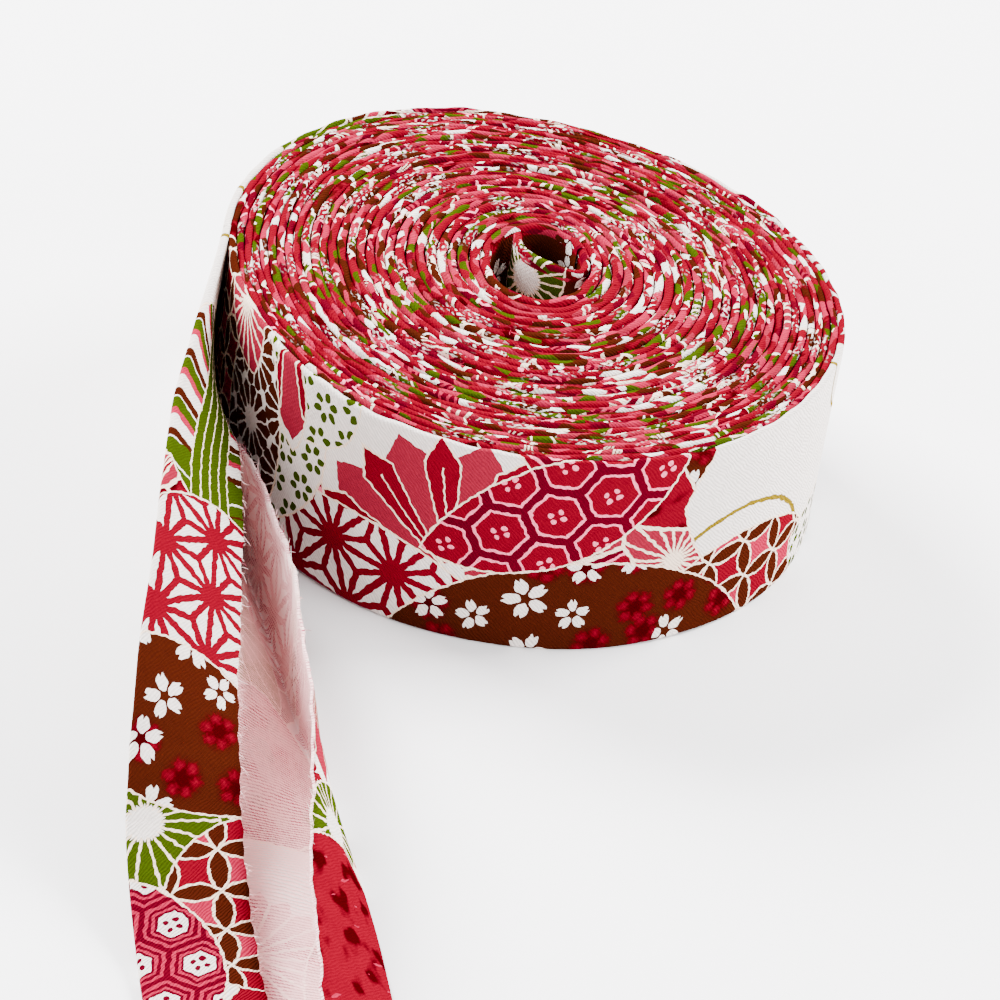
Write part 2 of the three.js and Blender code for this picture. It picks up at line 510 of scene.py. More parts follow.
    def fan(self, page: Picture, x: Num, y: Num) -> Socket:
        """Long pointed petals spread from one point: broad rose ones behind narrow red ones."""
        broad = flower(x, y, 11)
        aside = broad.radius * broad.off_middle
        rose = (broad.off_middle < 0.215) & ((broad.radius + aside * 0.9) < 17.4)
        ground = page.paint(Ink.WHITE, Ink.ROSE, rose & (broad.radius > 1.6))
        narrow = flower(x, y, 11, math.pi / 11)
        beside = narrow.radius * narrow.off_middle
        tip = narrow.radius + beside * 1.5
        edged = (narrow.off_middle < 0.155) & (tip < 17.6) & (narrow.radius > 1.6)
        petal = (beside < (narrow.radius * 0.155 - 0.22)) & (tip < 17.1) & (narrow.radius > 2.2)
        vein = (beside < 0.10) & (narrow.radius < 13.5)
        drawn = page.paint(ground, Ink.CREAM, edged)
        drawn = page.paint(drawn, Ink.RED, petal)
        return page.paint(drawn, Ink.CREAM, petal & vein)

    def green_mum(self, page: Picture, x: Num, y: Num) -> Socket:
        """A white heart in green petals with pale lines."""
        bloom = flower(x, y, 18)
        petal = page.paint(Ink.GREEN, Ink.CREAM, bloom.to_border < 0.15)
        heart = (bloom.radius + bloom.off_middle * 4.0) < 2.3
        return page.paint(petal, Ink.WHITE, heart)

    def brown_mum(self, page: Picture, x: Num, y: Num) -> Socket:
        """Brown many-petalled flowers with white hearts."""
        cx, cy = page.cell(x, y, 8.2)
        bloom = flower(cx, cy, 13)
        petal = (bloom.to_border > 0.12) & ((bloom.radius - bloom.off_middle * 2.4) > 1.35)
        edge = (bloom.radius + bloom.off_middle * 3.0) < 4.5
        return page.paint(Ink.WHITE, Ink.BROWN, petal & edge)

    def dot_flowers(self, page: Picture, x: Num, y: Num) -> Socket:
        """Rings of green dots on white."""
        cx, cy = page.cell(x, y, 4.5)
        bloom = flower(cx, cy, 6)
        along = bloom.radius * bloom.turn.op("COSINE") - 1.25
        aside = bloom.radius * bloom.turn.op("SINE")
        return page.paint(Ink.WHITE, Ink.GREEN, along.hypot(aside * 1.3) < 0.58)

    def bundle(self, page: Picture, x: Num, y: Num) -> Socket:
        """A curved bundle of green ribbons, with slanted strokes in several colours beside it."""
        bow = y + (x * 0.13).op("SINE") * 1.6
        line = abs(bow.wrap(0.72)) < 0.10
        green = page.paint(Ink.GREEN, Ink.CREAM, line)
        slant = x * 0.9 + abs(bow) * 0.5
        cycle = slant.wrap(2.6)
        stroke = page.paint(Ink.WHITE, Ink.GREEN, abs(cycle) < 0.78)
        stroke = page.paint(stroke, Ink.PINK, abs(cycle - 1.04) < 0.42)
        stroke = page.paint(stroke, Ink.BROWN, abs(cycle + 1.5) < 0.52)
        tail = (x > 8.0) & (abs(slant.wrap(0.9)) > 0.14)
        side = page.paint(stroke, Ink.GREEN, tail)
        edge = abs(bow) < 3.0
        return page.paint(page.paint(side, Ink.CREAM, edge), green, abs(bow) < 2.85)

    def gold_arc(self, page: Picture, x: Num, y: Num) -> Socket:
        """Two thin gold arcs on bare cotton."""
        first = abs((x + 17.0).hypot(y + 15.0) - 12.5) < 0.3
        second = abs((x - 6.0).hypot(y - 5.0) - 5.5) < 0.3
        return page.paint(Ink.WHITE, Ink.GOLD, first | second)

    def blotch(self, page: Picture, x: Num, y: Num) -> Socket:
        """Red with soft dark patches and a few pale strokes."""
        dark = (page.noise(x, y, 0.30) - 0.54) * 8.0
        patches = page.paint(Ink.RED, Ink.DARK_RED, dark.clamped())
        stroke = page.noise(x * 0.5, y + x, 0.7) > 0.76
        return page.paint(patches, Ink.PINK, stroke)

    def tuft(self, page: Picture, x: Num, y: Num) -> Socket:
        """Narrow rose petals with pale outlines on white."""
        bloom = flower(x, y, 20)
        petal = page.paint(Ink.ROSE, Ink.CREAM, bloom.to_border < 0.17)
        return page.paint(petal, Ink.WHITE, (bloom.radius + bloom.off_middle * 9.0) > 9.6)


@dataclass(frozen=True)
class PrintField:
    """One lens-shaped field of the print on the flat strip, in millimetres and degrees."""

    along: float
    across: float
    half_length: float
    half_width: float
    turn: float
    motif: Motif
    heart: float = 0.0


# Fields of the outer turn's front, its back, the loose end and the inner end. Later ones lie on top.
FIELDS = (
    PrintField(-118, 30, 26, 20, 0, Motif.GOLD_ARC),
    PrintField(-212, 24, 16, 12, 90, Motif.LINKED_CIRCLES),
    PrintField(-172.9, 28.4, 14, 13, 117.3, Motif.FAN, -9.0),
    PrintField(-180, 12, 23, 12, -8, Motif.HEMP_LEAF),
    PrintField(-134, 9, 17, 15, 12, Motif.LINKED_CIRCLES),
    PrintField(-155, 11, 22, 13, 5, Motif.BLOSSOM),
    PrintField(-191.5, 26, 11, 6, 75, Motif.DOT_FLOWERS),
    PrintField(-190, 37, 9, 8, -35, Motif.DOT_FLOWERS),
    PrintField(-158.5, 30, 16, 6.6, 27, Motif.TORTOISESHELL),
    PrintField(-192, 33, 7, 2.9, -75, Motif.FAN, -12.0),
    PrintField(-199, 25, 16, 6.5, 95, Motif.BROWN_MUM),
    PrintField(-204, 37, 8, 5, -55, Motif.TUFT),
    PrintField(-110, 12, 15, 8, -20, Motif.DOT_FLOWERS),
    PrintField(-97, 34, 17, 12, -15, Motif.HEMP_LEAF),
    PrintField(-94, 14, 14, 12, 10, Motif.BLOSSOM),
    PrintField(-76, 24, 16, 12, 80, Motif.FAN, -14.0),
    PrintField(-57, 36, 15, 13, -10, Motif.LINKED_CIRCLES),
    PrintField(-58, 12, 16, 9, 15, Motif.GREEN_MUM),
    PrintField(-38, 25, 17, 12, -35, Motif.SMALL_SHELL),
    PrintField(-22, 12, 15, 12, 5, Motif.BROWN_MUM),
    PrintField(-18, 38, 14, 9, 25, Motif.BUNDLE),
    PrintField(2, 30, 26, 22, 90, Motif.GOLD_ARC),
    PrintField(28, 8, 26, 16, 5, Motif.HEMP_LEAF),
    PrintField(27, 24, 16, 8, 20, Motif.DOT_FLOWERS),
    PrintField(29, 44, 19, 10, 5, Motif.BUNDLE),
    PrintField(50, 23, 14, 8, -30, Motif.GREEN_MUM),
    PrintField(68, 4, 15, 12, 60, Motif.FAN, -9.0),
    PrintField(72, 22, 14, 10, 20, Motif.BLOTCH),
    PrintField(98, 26, 22, 16, 70, Motif.TUFT),
    PrintField(56, 45, 13, 13, 0, Motif.HEMP_LEAF),
    PrintField(82.5, 39, 8, 8, 0, Motif.GREEN_MUM),
    PrintField(72.5, 43.5, 15, 8.5, 62, Motif.BLOSSOM),
    PrintField(85, 5, 10, 5, -35, Motif.GREEN_MUM),
    PrintField(105, 7, 19, 14, 0, Motif.BLOTCH),
    PrintField(94, 49, 12, 9, 0, Motif.LINKED_CIRCLES),
    PrintField(100, 37, 13.5, 8.5, 20, Motif.SMALL_SHELL),
    # The inner end's blossom field is print, but its dark brown ground is also painted shade that darkens the
    # hole where shadow falls.
    PrintField(-3935, 24.5, 32, 26, 0, Motif.BLOSSOM),
    PrintField(-3941, 34, 6, 4.5, 40, Motif.GREEN_MUM),
)


def fields_between(start: float, end: float) -> tuple[PrintField, ...]:
    """Take the fields of the table that reach into a span of the strip."""
    return tuple(f for f in FIELDS if start < f.along + f.half_length and f.along - f.half_length < end)


class Print:
    """The print of one span of the strip, as a colour over the flat cloth."""

    outline = 0.24
    ragged = 0.30
    strewn_pitch = 11.0
    dash_size = (1.9, 0.66)
    dash_inks = (
        (Ink.WHITE, 0.0, 0.02),
        (Ink.RED, 0.02, 0.26),
        (Ink.PINK, 0.26, 0.38),
        (Ink.CRIMSON, 0.38, 0.44),
        (Ink.GREEN, 0.44, 0.51),
        (Ink.BROWN, 0.51, 0.59),
        (Ink.ROSE, 0.59, 0.65),
    )
    packing = 10.0
    folds = (12.0, 37.0)
    fold_reach = 1.4
    odds = (
        (Motif.HEMP_LEAF, 3),
        (Motif.TORTOISESHELL, 20),
        (Motif.LINKED_CIRCLES, 10),
        (Motif.BLOSSOM, 7),
        (Motif.FAN, 12),
        (Motif.GREEN_MUM, 9),
        (Motif.BROWN_MUM, 2),
        (Motif.DOT_FLOWERS, 1),
        (Motif.BUNDLE, 4),
        (Motif.GOLD_ARC, 1),
        (Motif.BLOTCH, 22),
        (Motif.TUFT, 8),
        (Motif.SMALL_SHELL, 8),
    )

    def __init__(self, book: MotifBook, name: str, fields: tuple[PrintField, ...], broken: bool) -> None:
        """Build the group that draws the print.

        Args:
            book: The motifs.
            name: The group's name.
            fields: The table's fields in the span.
            broken: Whether dashes break the print up along the folds.
        """
        self.page = Picture(name, ("Along", "Across"), {"Color": "NodeSocketColor"})
        self.tree = self.page.tree
        self.fields = fields
        self.broken = broken
        self.page.put("Color", self.filled(book))

    def layout(self) -> tuple[Num, Num, Num, Num]:
        """Work out the field that each place lies in.

        Returns:
            The place within its field, the field's motif, and how far outside its rim the place is,
            which is below zero inside.
        """
        page, tree = self.page, self.tree
        along, across = page.given("Along"), page.given("Across")
        wander = tree.nodes.new("ShaderNodeTexNoise")
        wander.noise_dimensions = "2D"
        wander.inputs["Scale"].default_value = 1.3
        wander.inputs["Detail"].default_value = 0.0
        tree.links.new(joined(tree, along, across), wander.inputs["Vector"])
        ragged_x, ragged_y, _ = parted(tree, wander.outputs["Color"])
        x, y = along + ragged_x * self.ragged, across + ragged_y * self.ragged
        chosen, outside = self.strewn(x, y)
        point = joined(tree, x, y)
        for one in self.fields:
            chosen, outside = self.laid(chosen, outside, point, one)
        heart_x, heart_y, packed = parted(tree, chosen)
        motif = (packed / self.packing).op("FLOOR")
        angle = packed - motif * self.packing
        cosine, sine = angle.op("COSINE"), angle.op("SINE")
        off_x, off_y = x - heart_x, y - heart_y
        return off_x * cosine + off_y * sine, off_y * cosine - off_x * sine, motif, outside

    def strewn(self, x: Num, y: Num) -> tuple[Socket, Num]:
        """Many fields strewn at random, under the ones of the table.

        Args:
            x: Place along the strip.
            y: Place across it.

        Returns:
            A vector of the field's heart and its packed motif and turn, and the distance outside.
        """
        tree, pitch = self.tree, self.strewn_pitch
        bent_x = x + (y * 0.21).op("SINE") * 2.0
        bent_y = y + (x * 0.17).op("SINE") * 2.4
        nearest = self.page.uneven_cells(bent_x / pitch, bent_y / pitch)
        border = self.page.uneven_cells(bent_x / pitch, bent_y / pitch, "DISTANCE_TO_EDGE")
        px, py, _ = parted(tree, nearest.outputs["Position"])
        pick, turn, _ = parted(tree, nearest.outputs["Color"])
        whole = sum(odds for _, odds in self.odds)
        motif, passed = pick * 0.0, 0
        for _, odds in self.odds[:-1]:
            passed += odds
            motif = motif + (pick > passed / whole)
        packed = motif * self.packing + turn * 6.0
        outside = Num(tree, border.outputs["Distance"]) * -pitch
        return joined(tree, px * pitch, py * pitch, packed), outside

    def laid(
        self, chosen: Socket, outside: Num, point: Socket, one: PrintField
    ) -> tuple[Socket, Num]:
        """Lay one field of the table over what is there.

        Args:
            chosen: The vector so far, as strewn gives it.
            outside: The distance so far.
            point: The place on the strip.
            one: The field, the overlap of two discs.

        Returns:
            The vector and the distance with the field laid over them.
        """
        tree = self.tree
        turn = math.radians(one.turn)
        axis = Vector((math.cos(turn), math.sin(turn), 0))
        side = Vector((-axis.y, axis.x, 0))
        middle = Vector((one.along, one.across, 0))
        radius = (one.half_length**2 + one.half_width**2) / (2 * one.half_width)
        reach = []
        for sign in (1, -1):
            node = vector_math(tree, "DISTANCE", point, middle + side * sign * (radius - one.half_width))
            reach.append(Num(tree, node.outputs["Value"]))
        here = reach[0].op("MAXIMUM", reach[1]) - radius
        mask = here < 0
        heart = middle + axis * one.heart
        held = Vector((heart.x, heart.y, one.motif * self.packing + turn % (2 * math.pi)))
        blend = tree.nodes.new("ShaderNodeMix")
        for slot, value in ((0, mask), (2, outside), (3, here)):
            tree.links.new(value.socket, blend.inputs[slot])
        return mixed_vector(tree, chosen, held, mask), Num(tree, blend.outputs[0])

    def filled(self, book: MotifBook) -> Socket:
        """Draw each field's own motif in it, and a pale line round it.

        Args:
            book: The motifs.

        Returns:
            The socket of the print's colour.
        """
        x, y, number, outside = self.layout()
        colour: Colour | Socket = Ink.WHITE
        for motif, group in book.groups.items():
            drawn = placed(self.tree, group, X=x, Y=y).outputs["Color"]
            colour = self.page.paint(colour, drawn, number.op("COMPARE", float(motif), 0.5))
        lined = self.page.paint(colour, Ink.CREAM, outside > -self.outline)
        if not self.broken:
            return lined
        at_fold = self.at_fold()
        return self.page.paint(self.dashed(lined, at_fold), Ink.WHITE, self.worn() & at_fold)

    def at_fold(self) -> Num:
        """Where the cloth is bent over at a fold."""
        across = self.page.given("Across")
        low, high = self.folds
        to_fold = abs(across - low).op("MINIMUM", abs(across - high))
        return to_fold < self.fold_reach

    def dashed(self, under: Socket, where: Num) -> Socket:
        """Break the print up along the folds with short dashes of its other inks.

        Args:
            under: The print so far.
            where: Where the dashes may lie.

        Returns:
            The socket of the print's colour.
        """
        page = self.page
        along, across = page.given("Along"), page.given("Across")
        node = page.uneven_cells(along / self.dash_size[0], across / self.dash_size[1])
        pick, _, _ = parted(page.tree, node.outputs["Color"])
        ramp = page.tree.nodes.new("ShaderNodeValToRGB")
        ramp.color_ramp.interpolation = "CONSTANT"
        page.tree.links.new(pick.socket, ramp.inputs["Fac"])
        stops = ramp.color_ramp.elements
        stops.remove(stops[1])
        for index, (ink, start, _) in enumerate(self.dash_inks):
            stop = stops.new(start) if index else stops[0]
            stop.color = ink
        return page.paint(under, ramp.outputs["Color"], (pick < self.dash_inks[-1][2]) & where)

    def worn(self) -> Num:
        """Where bent threads have lost their dye, in patches of small flecks."""
        page = self.page
        along, across = page.given("Along"), page.given("Across")
        patch = (page.noise(along, across * 0.2, 0.13, 0.0) - 0.60).op("MULTIPLY", 6.0, clamp=True)
        fleck = (page.noise(along * 0.8, across * 1.5, 2.2, 0.0) - 0.60).op("MULTIPLY", 12.0, clamp=True)
        return fleck & patch


class Weave:
    """Ribbed cotton cut on the bias: its threads lie at 45 degrees to the strip."""

    rib = 0.34
    row = 0.42
    dash = 0.50
    slant = 0.14

    def __init__(self) -> None:
        """Build the groups of the printed side's ribs and the wrong side's open rows."""
        self.ribs = self.ribbed()
        self.rows = self.open_rows()

    @staticmethod
    def page(name: str, mask: str) -> Picture:
        """Start a group over the strip with a height and one mask."""
        return Picture(name, ("Along", "Across"), {"Height": "NodeSocketFloat", mask: "NodeSocketFloat"})

    def ribbed(self) -> Tree:
        """Fine ribs, with the height and the valleys between them, where the printed side paints shade."""
        page = self.page("bias_ribs", "Valleys")
        along, across = page.given("Along"), page.given("Across")
        slub = (page.noise(along, across, 0.8, 0.0) - 0.5) * 0.5
        rate = 2 * math.pi / (self.rib * math.sqrt(2))
        rib = ((along + across + slub) * rate).op("SINE")
        pick = ((along - across) * rate * 0.8).op("SINE")
        fuzz = page.noise(along + across, (along - across) * 0.35, 2.6, 0.0)
        page.put("Height", rib * 0.5 + pick * 0.14 + fuzz * 0.7)
        page.put("Valleys", (rib * -0.5 + fuzz * 0.9 - 0.05).clamped())
        return page.tree

    def open_rows(self) -> Tree:
        """Coarse rows of threads across the strip, and the dashes of dye seen between them."""
        page = self.page("open_rows", "Dashes")
        along, across = page.given("Along"), page.given("Across")
        bow = (page.noise(along, across, 0.10, 0.0) - 0.5) * 3.0
        slub = (page.noise(along, across, 0.9, 0.0) - 0.5) * 0.16
        row = (along + across * self.slant + bow + slub) / self.row
        number = row.op("FLOOR")
        dash = (across - along * self.slant + slub) / self.dash + number * 0.37
        beat = page.tree.nodes.new("ShaderNodeTexWhiteNoise")
        beat.noise_dimensions = "2D"
        page.tree.links.new(joined(page.tree, number, dash.op("FLOOR")), beat.inputs["Vector"])
        within, beside = abs(row.op("FRACT") - 0.5), abs(dash.op("FRACT") - 0.5)
        gap = (within * 2.0 - 0.46).op("MULTIPLY", 4.0, clamp=True)
        stretch = (beside * -2.0 + 0.86).op("MULTIPLY", 4.0, clamp=True)
        seep = (page.noise(along, across, 0.22, 0.0) - 0.34).op("MULTIPLY", 4.0, clamp=True)
        page.put("Height", gap * -0.8 - beside * 0.5 + slub * 3.0)
        uneven = Num(page.tree, beat.outputs["Value"]) * 0.6 + 0.4
        page.put("Dashes", gap * stretch * uneven * (seep * 0.6 + 0.4))
        return page.tree


@dataclass(frozen=True)
class PrintedSide:
    """The printed face of the cotton."""

    name: str
    roughness: float = 0.84
    relief: float = 0.00007
    # Colour of the painted shade in the valleys between the ribs.
    valley_shade: Colour = linear(30, 4, 6)

    def material(self, print_tree: Tree, weave: Weave) -> bpy.types.Material:
        """Build the material.

        Args:
            print_tree: The group that draws the print.
            weave: The groups of the weave.

        Returns:
            The material.
        """
        material, tree, shader, along, across = cloth_material(self.name)
        colour = placed(tree, print_tree, Along=along, Across=across).outputs["Color"]
        ribs = placed(tree, weave.ribs, Along=along, Across=across)
        # Painted shade: the print is darkened towards a deep red-brown in the valleys between the ribs.
        shaded = paint(tree, colour, self.valley_shade, Num(tree, ribs.outputs["Valleys"]) * 0.24)
        tree.links.new(shaded, shader.inputs["Base Color"])
        finish_cloth(tree, shader, ribs, self.roughness, self.relief)
        return material


@dataclass(frozen=True)
class WrongSide:
    """The back of the cotton, where the print shows through between pale threads."""

    name: str
    roughness: float = 0.9
    relief: float = 0.00012
    # Pale pink cotton thread, made brighter as painted light that stands in for light shining through the
    # thin cloth.
    thread_and_backlight: Colour = linear(252, 206, 205)

    def material(self, print_tree: Tree, weave: Weave) -> bpy.types.Material:
        """Build the material, as PrintedSide does."""
        material, tree, shader, along, across = cloth_material(self.name)
        pale = tree.nodes.new("ShaderNodeGamma")
        pale.inputs["Gamma"].default_value = 0.6
        print_node = placed(tree, print_tree, Along=along, Across=across)
        tree.links.new(print_node.outputs["Color"], pale.inputs["Color"])
        rows = placed(tree, weave.rows, Along=along, Across=across)
        dashes = (Num(tree, rows.outputs["Dashes"]) * 1.1 + 0.1).op("MINIMUM", 1.0)
        ghost = paint(tree, self.thread_and_backlight, pale.outputs["Color"], dashes)
        tree.links.new(ghost, shader.inputs["Base Color"])
        finish_cloth(tree, shader, rows, self.roughness, self.relief)
        return material


def cloth_material(name: str) -> tuple[bpy.types.Material, Tree, bpy.types.Node, Num, Num]:
    """Start a material that reads the strip's own coordinates.

    Args:
        name: The material's name.

    Returns:
        The material, its tree, its shader, and the places along and across in millimetres.
    """
    material = bpy.data.materials.new(name)
    material.use_nodes = True
    tree = material.node_tree
    shader = tree.nodes["Principled BSDF"]
    strip = tree.nodes.new("ShaderNodeUVMap")
    strip.uv_map = STRIP_MAP
    along, across, _ = parted(tree, strip.outputs["UV"])
    return material, tree, shader, along / MM, across / MM


def finish_cloth(
    tree: Tree,
    shader: bpy.types.Node,
    weave: bpy.types.Node,
    roughness: float,
    relief: float,
) -> None:
    """Give a shader the roughness and relief of cotton.

    Args:
        tree: The material's tree.
        shader: Its shader.
        weave: The placed weave group.
        roughness: The shader's roughness.
        relief: Height of the weave in metres.
    """
    shader.inputs["Roughness"].default_value = roughness
    shader.inputs["Specular IOR Level"].default_value = 0.0
    bump = tree.nodes.new("ShaderNodeBump")
    bump.inputs["Distance"].default_value = relief
    bump.inputs["Strength"].default_value = 0.8
    tree.links.new(weave.outputs["Height"], bump.inputs["Height"])
    tree.links.new(bump.outputs["Normal"], shader.inputs["Normal"])


def wobble(at: np.ndarray, lengths: tuple[float, ...], seed: int) -> np.ndarray:
    """Smooth uneven values between about minus one and one.

    Args:
        at: Places.
        lengths: Wavelengths of the waves that are summed.
        seed: Picks their phases.

    Returns:
        One value for each place.
    """
    phases = np.random.default_rng(SEED + seed).uniform(0, 2 * np.pi, len(lengths))
    waves = [np.sin(2 * np.pi * at / length + phase) for length, phase in zip(lengths, phases)]
    return sum(waves) / len(lengths)


def set_down(name: str, mesh: bmesh.types.BMesh, materials: list[bpy.types.Material]) -> bpy.types.Object:
    """Turn a worked-out mesh into an object of the scene.

    Args:
        name: The object's name.
        mesh: The mesh, which is freed.
        materials: Its materials.

    Returns:
        The object.
    """
    data = bpy.data.meshes.new(name)
    mesh.to_mesh(data)
    mesh.free()
    for material in materials:
        data.materials.append(material)
    made = bpy.data.objects.new(name, data)
    bpy.context.collection.objects.link(made)
    return made


@dataclass
class StripMesh:
    """Rings of points swept along the strip, made into one mesh."""

    name: str
    rings: list[np.ndarray] = field(default_factory=list)
    strips: list[np.ndarray] = field(default_factory=list)

    def add(self, points: np.ndarray, strip: np.ndarray) -> None:
        """Add one ring.

        Args:
            points: One row of x, y, z for each point, in millimetres.
            strip: One row of along and across for each point, in millimetres.
        """
        self.rings.append(points)
        self.strips.append(strip)

    def build(self, materials: list[bpy.types.Material], slots: np.ndarray, closed: bool) -> bpy.types.Object:
        """Make the object.

        Args:
            materials: Its materials.
            slots: The material of each face, as one row for each pair of rings or one row for all.
            closed: Whether each ring closes on itself and both ends are capped.

        Returns:
            The object, with its faces pointing outwards.
        """
        points = np.concatenate(self.rings) * MM + np.array(ROLL_MIDDLE) * MM
        strip = np.concatenate(self.strips) * MM
        count = len(self.rings[0])
        around = count if closed else count - 1
        slots = np.broadcast_to(slots, (len(self.rings) - 1, around))
        mesh = bmesh.new()
        vertices = [mesh.verts.new(p) for p in points]
        layer = mesh.loops.layers.uv.new(STRIP_MAP)

        def face(corners: list[int], slot: int) -> None:
            """Add one smooth face, with its place on the strip."""
            made = mesh.faces.new([vertices[c] for c in corners])
            made.material_index = slot
            made.smooth = True
            for loop, corner in zip(made.loops, corners):
                loop[layer].uv = strip[corner]

        for r in range(len(self.rings) - 1):
            for i in range(around):
                a, b = r * count + i, r * count + (i + 1) % count
                face([a, b, b + count, a + count], int(slots[r, i]))
        if closed:
            last = (len(self.rings) - 1) * count
            for i in range(count // 2 - 1):
                j = count - 1 - i
                face([i, j, j - 1, i + 1], int(slots[0, -1]))
                face([last + i, last + i + 1, last + j - 1, last + j], int(slots[0, -1]))
        return set_down(self.name, mesh, materials)


@dataclass(frozen=True)
class RollForm:
    """The plan of the roll: an oval, slightly three-cornered rim round an oval hole."""

    long_radius: float = 36.9
    short_radius: float = 34.6
    long_axis: float = math.radians(-51.5)
    three_corner: float = -0.0143
    hole_middle: tuple[float, float] = (0.4, 4.4)
    hole_radii: tuple[float, float] = (4.8, 7.0)
    leave_angle: float = math.radians(178.5)

    def rim(self, angle: np.ndarray) -> np.ndarray:
        """Points of the rim at angles about the roll's middle."""
        t = angle - self.long_axis
        oval = 1 / np.hypot(np.cos(t) / self.long_radius, np.sin(t) / self.short_radius)
        reach = oval * (1 + self.three_corner * np.cos(3 * t))
        return np.stack([reach * np.cos(angle), reach * np.sin(angle)], -1)

    def hole(self, angle: np.ndarray) -> np.ndarray:
        """Points of the hole's wall at angles about its own middle."""
        x = self.hole_middle[0] + self.hole_radii[0] * np.cos(angle)
        y = self.hole_middle[1] + self.hole_radii[1] * np.sin(angle)
        return np.stack([x, y], -1)


@dataclass
class WoundTurns:
    """The turns that lie in the roll, each a folded strip standing on its edge."""

    form: RollForm
    turns: float = 28.41
    tightening: float = 0.22
    height: float = 25.0
    flap: float = 12.0
    panel: float = 25.0
    step: float = 1.1
    step_angle: float = math.radians(5)
    fold_steps: int = 6
    squareness: float = 0.78
    packing: float = 0.95
    widest_half: float = 0.62
    end_half: float = 0.42
    fade_rate: float = 12.0
    length: float = field(init=False, default=0.0)

    def share(self, turn: np.ndarray) -> np.ndarray:
        """How far from the hole to the rim the strip's middle lies, after so many turns."""
        part = turn / self.turns
        drawn = part * (1 + self.tightening) - self.tightening * part**2
        inner = 0.5 * (1 + self.tightening) / self.turns
        outer = 0.5 * (1 - self.tightening) / self.turns
        return inner + (1 - inner - outer) * drawn

    def middle_line(self, turn: np.ndarray) -> np.ndarray:
        """Plan points of the strip's middle after so many turns."""
        angle = self.form.leave_angle + 2 * np.pi * (turn - self.turns)
        share = self.share(turn)[:, None]
        hole, rim = self.form.hole(angle), self.form.rim(angle)
        return hole + (rim - hole) * share

    def stations(self) -> np.ndarray:
        """Turn counts at which the strip has a section, from its inner end to its outer one."""
        found = [0.0]
        while found[-1] < self.turns:
            here = np.array([found[-1]])
            centre = np.array(self.form.hole_middle) * (1 - self.share(here)[0])
            reach = float(np.linalg.norm(self.middle_line(here)[0] - centre))
            found.append(found[-1] + min(self.step / (2 * math.pi * reach), self.step_angle / (2 * math.pi)))
        found[-1] = self.turns
        return np.array(found)

    def section(self, half: float, low: float, high: float) -> tuple[np.ndarray, np.ndarray]:
        """The folded strip's outline, as outward offset and height, with its place across.

        Args:
            half: Half the folded thickness.
            low: Height of the lower fold.
            high: Height of the upper fold.

        Returns:
            Rows of offset and height, and one place across for each.
        """
        bend = np.linspace(0, np.pi, self.fold_steps + 1)
        arc = half * np.pi / 2
        straight = self.flap - arc
        side = np.sign(np.cos(bend)) * np.abs(np.cos(bend)) ** self.squareness
        rise = np.sin(bend) ** self.squareness
        lower = np.stack([-half * side, low + half - half * rise], 1)
        upper = np.stack([half * side, high - half + half * rise], 1)
        lower_at = self.flap + half * (bend - np.pi / 2)
        upper_at = self.flap + self.panel + half * (bend - np.pi / 2)
        between = np.array([[half, low + (high - low) * f] for f in (0.2, 0.4, 0.6, 0.8)])
        between_at = self.flap + self.panel * np.array([0.2, 0.4, 0.6, 0.8])
        start = np.array([[-half, low + half + straight]])
        end = np.array([[-half, high - half - straight]])
        points = np.concatenate([start, lower, between, upper, end])
        across = np.concatenate([[0.0], lower_at, between_at, upper_at, [2 * self.flap + self.panel]])
        return points, across

    def build(self, materials: list[bpy.types.Material]) -> bpy.types.Object:
        """Make the turns.

        Args:
            materials: The printed side of the innermost turn, of the ones between and of the outermost.

        Returns:
            The piece.
        """
        turn = self.stations()
        plan = self.middle_line(turn)
        run = np.gradient(plan, axis=0)
        run /= np.linalg.norm(run, axis=1)[:, None]
        outward = np.stack([run[:, 1], -run[:, 0]], 1)
        stretch = np.linalg.norm(np.diff(plan, axis=0), axis=1)
        along = np.concatenate([[0], np.cumsum(stretch)])
        along -= along[-1]
        neighbour = self.middle_line(np.where(turn < self.turns - 1, turn + 1, turn - 1))
        pitch = np.abs(((neighbour - plan) * outward).sum(1))
        fade = np.clip((self.turns - turn) * self.fade_rate, 0, 1)
        squeeze = wobble(along, (31.0, 17.3, 7.1), 1)
        rise = 0.22 * wobble(along, (97.0, 41.0), 2) + 0.16 * wobble(along, (13.0, 5.3), 3)
        high = self.height + fade * rise
        low = 0.12 + 0.1 * wobble(along, (61.0, 23.0), 4)
        lean = fade * 0.10 * wobble(along, (37.0, 9.7, 4.1), 5)
        half = 0.5 * pitch * (self.packing + 0.04 * squeeze)
        half = np.minimum(half, self.widest_half)
        half = half * fade + self.end_half * (1 - fade)
        strip = StripMesh("wound_turns")
        for i in range(len(turn)):
            outline, across = self.section(float(half[i]), float(low[i]), float(high[i]))
            tilt = lean[i] * (outline[:, 1] / self.height) ** 2
            offset = outline[:, 0] + tilt
            flat = plan[i] + offset[:, None] * outward[i]
            points = np.column_stack([flat, outline[:, 1]])
            strip.add(points, np.column_stack([np.full(len(across), along[i]), across]))
        LOG.info("wound turns: %.2f m of tape in %d sections", -along[0] * MM, len(turn))
        slots = np.searchsorted((FOLDS_FROM, FOLDS_TO), along[:-1])
        self.length = -float(along[0])
        return strip.build(materials, slots[:, None], closed=False)


@dataclass(frozen=True)
class Station:
    """Where the drawn-off tape passes, and how it is held there, in millimetres and degrees."""

    x: float
    y: float
    lean: float
    low_fold: float
    top_fold: float


